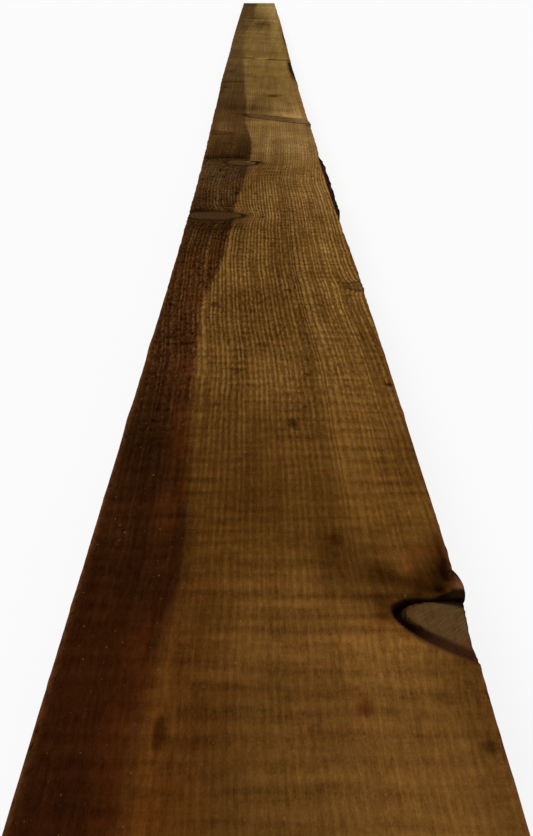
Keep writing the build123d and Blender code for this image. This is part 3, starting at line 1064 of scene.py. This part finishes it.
def with_bark_and_gaps(n, wood, colour):
    """Bark on the wane, torn wood, dark bark with painted shade in the gaps, painted shade in the crack, a
    painted highlight on the bump, and the pale splinters.
    """
    bark_colour = n.mix(n.between(wood.flakes, 0.4, 0.75), *BARK)
    bark_here = n.between(n.add(wood.bark, n.swing(wood.flakes, 0.8)), 0.05, 0.9)
    colour = n.mix(bark_here, colour, bark_colour)
    colour = n.mix(n.times(wood.chipped, n.between(wood.fuzz, 0.3, 0.7, 0.25, 0.75)), colour, TORN_WOOD)
    # The gaps' colour is dark bark and painted shade of their depth at once; it reaches a little past their
    # edges
    gap_bark_and_shade = n.mix(n.between(wood.station, 352.0, 364.0), *GAP_BARK_AND_SHADE)
    gap_starts = n.between(wood.station, 352.0, 370.0, -1.7, -0.3)
    gap_here = n.between(n.add(wood.gap, n.swing(wood.fuzz, 0.5)), gap_starts, 0.3)
    colour = n.mix(gap_here, colour, gap_bark_and_shade)
    # Painted highlight: a tan patch on the upper part of the bump beside the large knot
    collar_across = n.between(wood.x, 73.2 - CENTRE_U, 75.0 - CENTRE_U)
    collar_from = n.between(wood.station, 380.0, 383.5)
    collar_to = n.between(wood.station, 386.0, 392.0, 1.0, 0.0)
    collar_high = n.between(wood.z, 38.0, 44.0)
    collar_here = n.times(n.times(collar_across, collar_from), n.times(collar_to, collar_high))
    collar_highlight = n.times(collar_here, n.between(wood.fuzz, 0.35, 0.6, 0.3, 0.9))
    colour = n.mix(collar_highlight, colour, COLLAR_HIGHLIGHT)
    # Painted shade, near black, in the crack and at the rims of the torn-out hollow
    colour = n.mix(n.between(wood.black, 0.1, 0.9, 0.0, 0.9), colour, CRACK_SHADE)
    return n.mix(n.between(wood.pale, 0.3, 0.8, 0.0, 0.8), colour, SPLINTER)


def relief(n, wood):
    """The height of the fine relief, in millimetres."""
    flakes_here = n.times(n.between(wood.bark, 0.25, 0.7), wood.flakes)
    heights = (
        (wood.early, -0.16),
        (wood.streaks, 0.16),
        (wood.fuzz, 0.50),
        (wood.grit, 0.16),
        (wood.across, 0.35),
        (wood.saw, 0.30),
        (flakes_here, 1.6),
        (n.times(wood.knot_in, wood.knot_rings), 0.2),
    )
    total = 0.0
    for part, amount in heights:
        total = n.add(total, n.times(part, amount))
    return total


def wood_material():
    """Rough-sawn, stained softwood, worked out from the mesh's fields and from the place on the plank."""
    material = bpy.data.materials.new("wood")
    n = Nodes(material)
    wood = read_fields(n)
    add_noises(n, wood)
    add_saw_marks(n, wood)
    add_rings(n, wood)
    colour = clear_wood(n, wood)
    colour = stained(n, wood, colour)
    colour = knotted(n, wood, colour)
    colour = with_bark_and_gaps(n, wood, colour)
    colour = n.mix(n.times(wood.end, 0.45), colour, n.mix(wood.grit, *SAWN_END))
    bump = n.node("ShaderNodeBump", {"Strength": 1.0, "Distance": 0.001, "Height": relief(n, wood)})
    finish = {"Base Color": colour, "Normal": bump.outputs[0], "Roughness": 0.78, "Specular IOR Level": 0.0}
    shader = n.node("ShaderNodeBsdfPrincipled", finish)
    n.node("ShaderNodeOutputMaterial", {"Surface": shader.outputs[0]})
    return material


# The scene


def placed(name, data):
    """A new object of the scene."""
    thing = bpy.data.objects.new(name, data)
    bpy.context.scene.collection.objects.link(thing)
    return thing


def make_plank():
    """The plank, in place of the CAD's."""
    mesh = plank_mesh()
    plank = placed("plank_wood", mesh)
    mesh.materials.append(wood_material())
    for polygon in mesh.polygons:
        polygon.use_smooth = True
    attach(plank, "root")
    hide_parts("plank")


def make_floor():
    """A plain pale floor that keeps the plank's shadow."""
    half = FLOOR_HALF
    corners = [(-half, -half, 0), (half, -half, 0), (half, half, 0), (-half, half, 0)]
    mesh = bpy.data.meshes.new("floor")
    mesh.from_pydata(corners, [], [(0, 1, 2, 3)])
    floor = placed("floor", mesh)
    material = bpy.data.materials.new("floor")
    n = Nodes(material)
    speckle = n.noise(n.node("ShaderNodeTexCoord").outputs["Object"], scale=9.0)
    paper = n.node("ShaderNodeBsdfDiffuse", {"Color": n.mix(speckle, *FLOOR_GREYS)})
    white = n.node("ShaderNodeEmission", {"Color": WHITE, "Strength": 1.0})
    path = n.node("ShaderNodeLightPath").outputs
    share = n.times(path["Is Camera Ray"], FLOOR_GLOW)
    shown = n.node("ShaderNodeMixShader", {0: share, 1: paper.outputs[0], 2: white.outputs[0]})
    n.node("ShaderNodeOutputMaterial", {"Surface": shown.outputs[0]})
    mesh.materials.append(material)


def make_light():
    """A soft white surround and one large soft lamp from the far left."""
    world = bpy.data.worlds.new("studio")
    bpy.context.scene.world = world
    n = Nodes(world)
    path = n.node("ShaderNodeLightPath").outputs
    seen = n.math("MAXIMUM", path["Is Camera Ray"], path["Is Glossy Ray"])
    strength = n.mix_value(seen, SURROUND_LIGHT, 1.0)
    back = n.node("ShaderNodeBackground", {"Color": WHITE, "Strength": strength})
    n.node("ShaderNodeOutputWorld", {"Surface": back.outputs[0]})
    lamp = bpy.data.lights.new("soft_lamp", "SUN")
    lamp.energy = LAMP_STRENGTH
    lamp.angle = math.radians(LAMP_SPREAD)
    placed("soft_lamp", lamp).rotation_euler = Vector(LAMP_DIRECTION).to_track_quat("-Z", "Y").to_euler()


def make_camera():
    """Low over the plank's near part, looking along it and down."""
    pitch = math.atan(HORIZON_ABOVE_MIDDLE / FOCAL_LENGTH)
    yaw = math.radians(CAMERA_YAW)
    data = bpy.data.cameras.new("camera")
    data.sensor_width = SENSOR
    data.lens = FOCAL_LENGTH / PICTURE_HEIGHT * SENSOR
    data.clip_start = 0.01
    data.clip_end = 100.0
    camera = placed("camera", data)
    place = (CAMERA_U - CENTRE_U, CAMERA_STATION - LENGTH / 2, THICKNESS + CAMERA_ABOVE)
    camera.location = Vector(place) / 1000
    level = math.cos(pitch)
    ahead = Vector((math.sin(yaw) * level, math.cos(yaw) * level, -math.sin(pitch)))
    camera.rotation_euler = ahead.to_track_quat("-Z", "Y").to_euler()
    bpy.context.scene.camera = camera


make_plank()
make_floor()
make_light()
make_camera()
bpy.context.scene.view_settings.view_transform = "Standard"
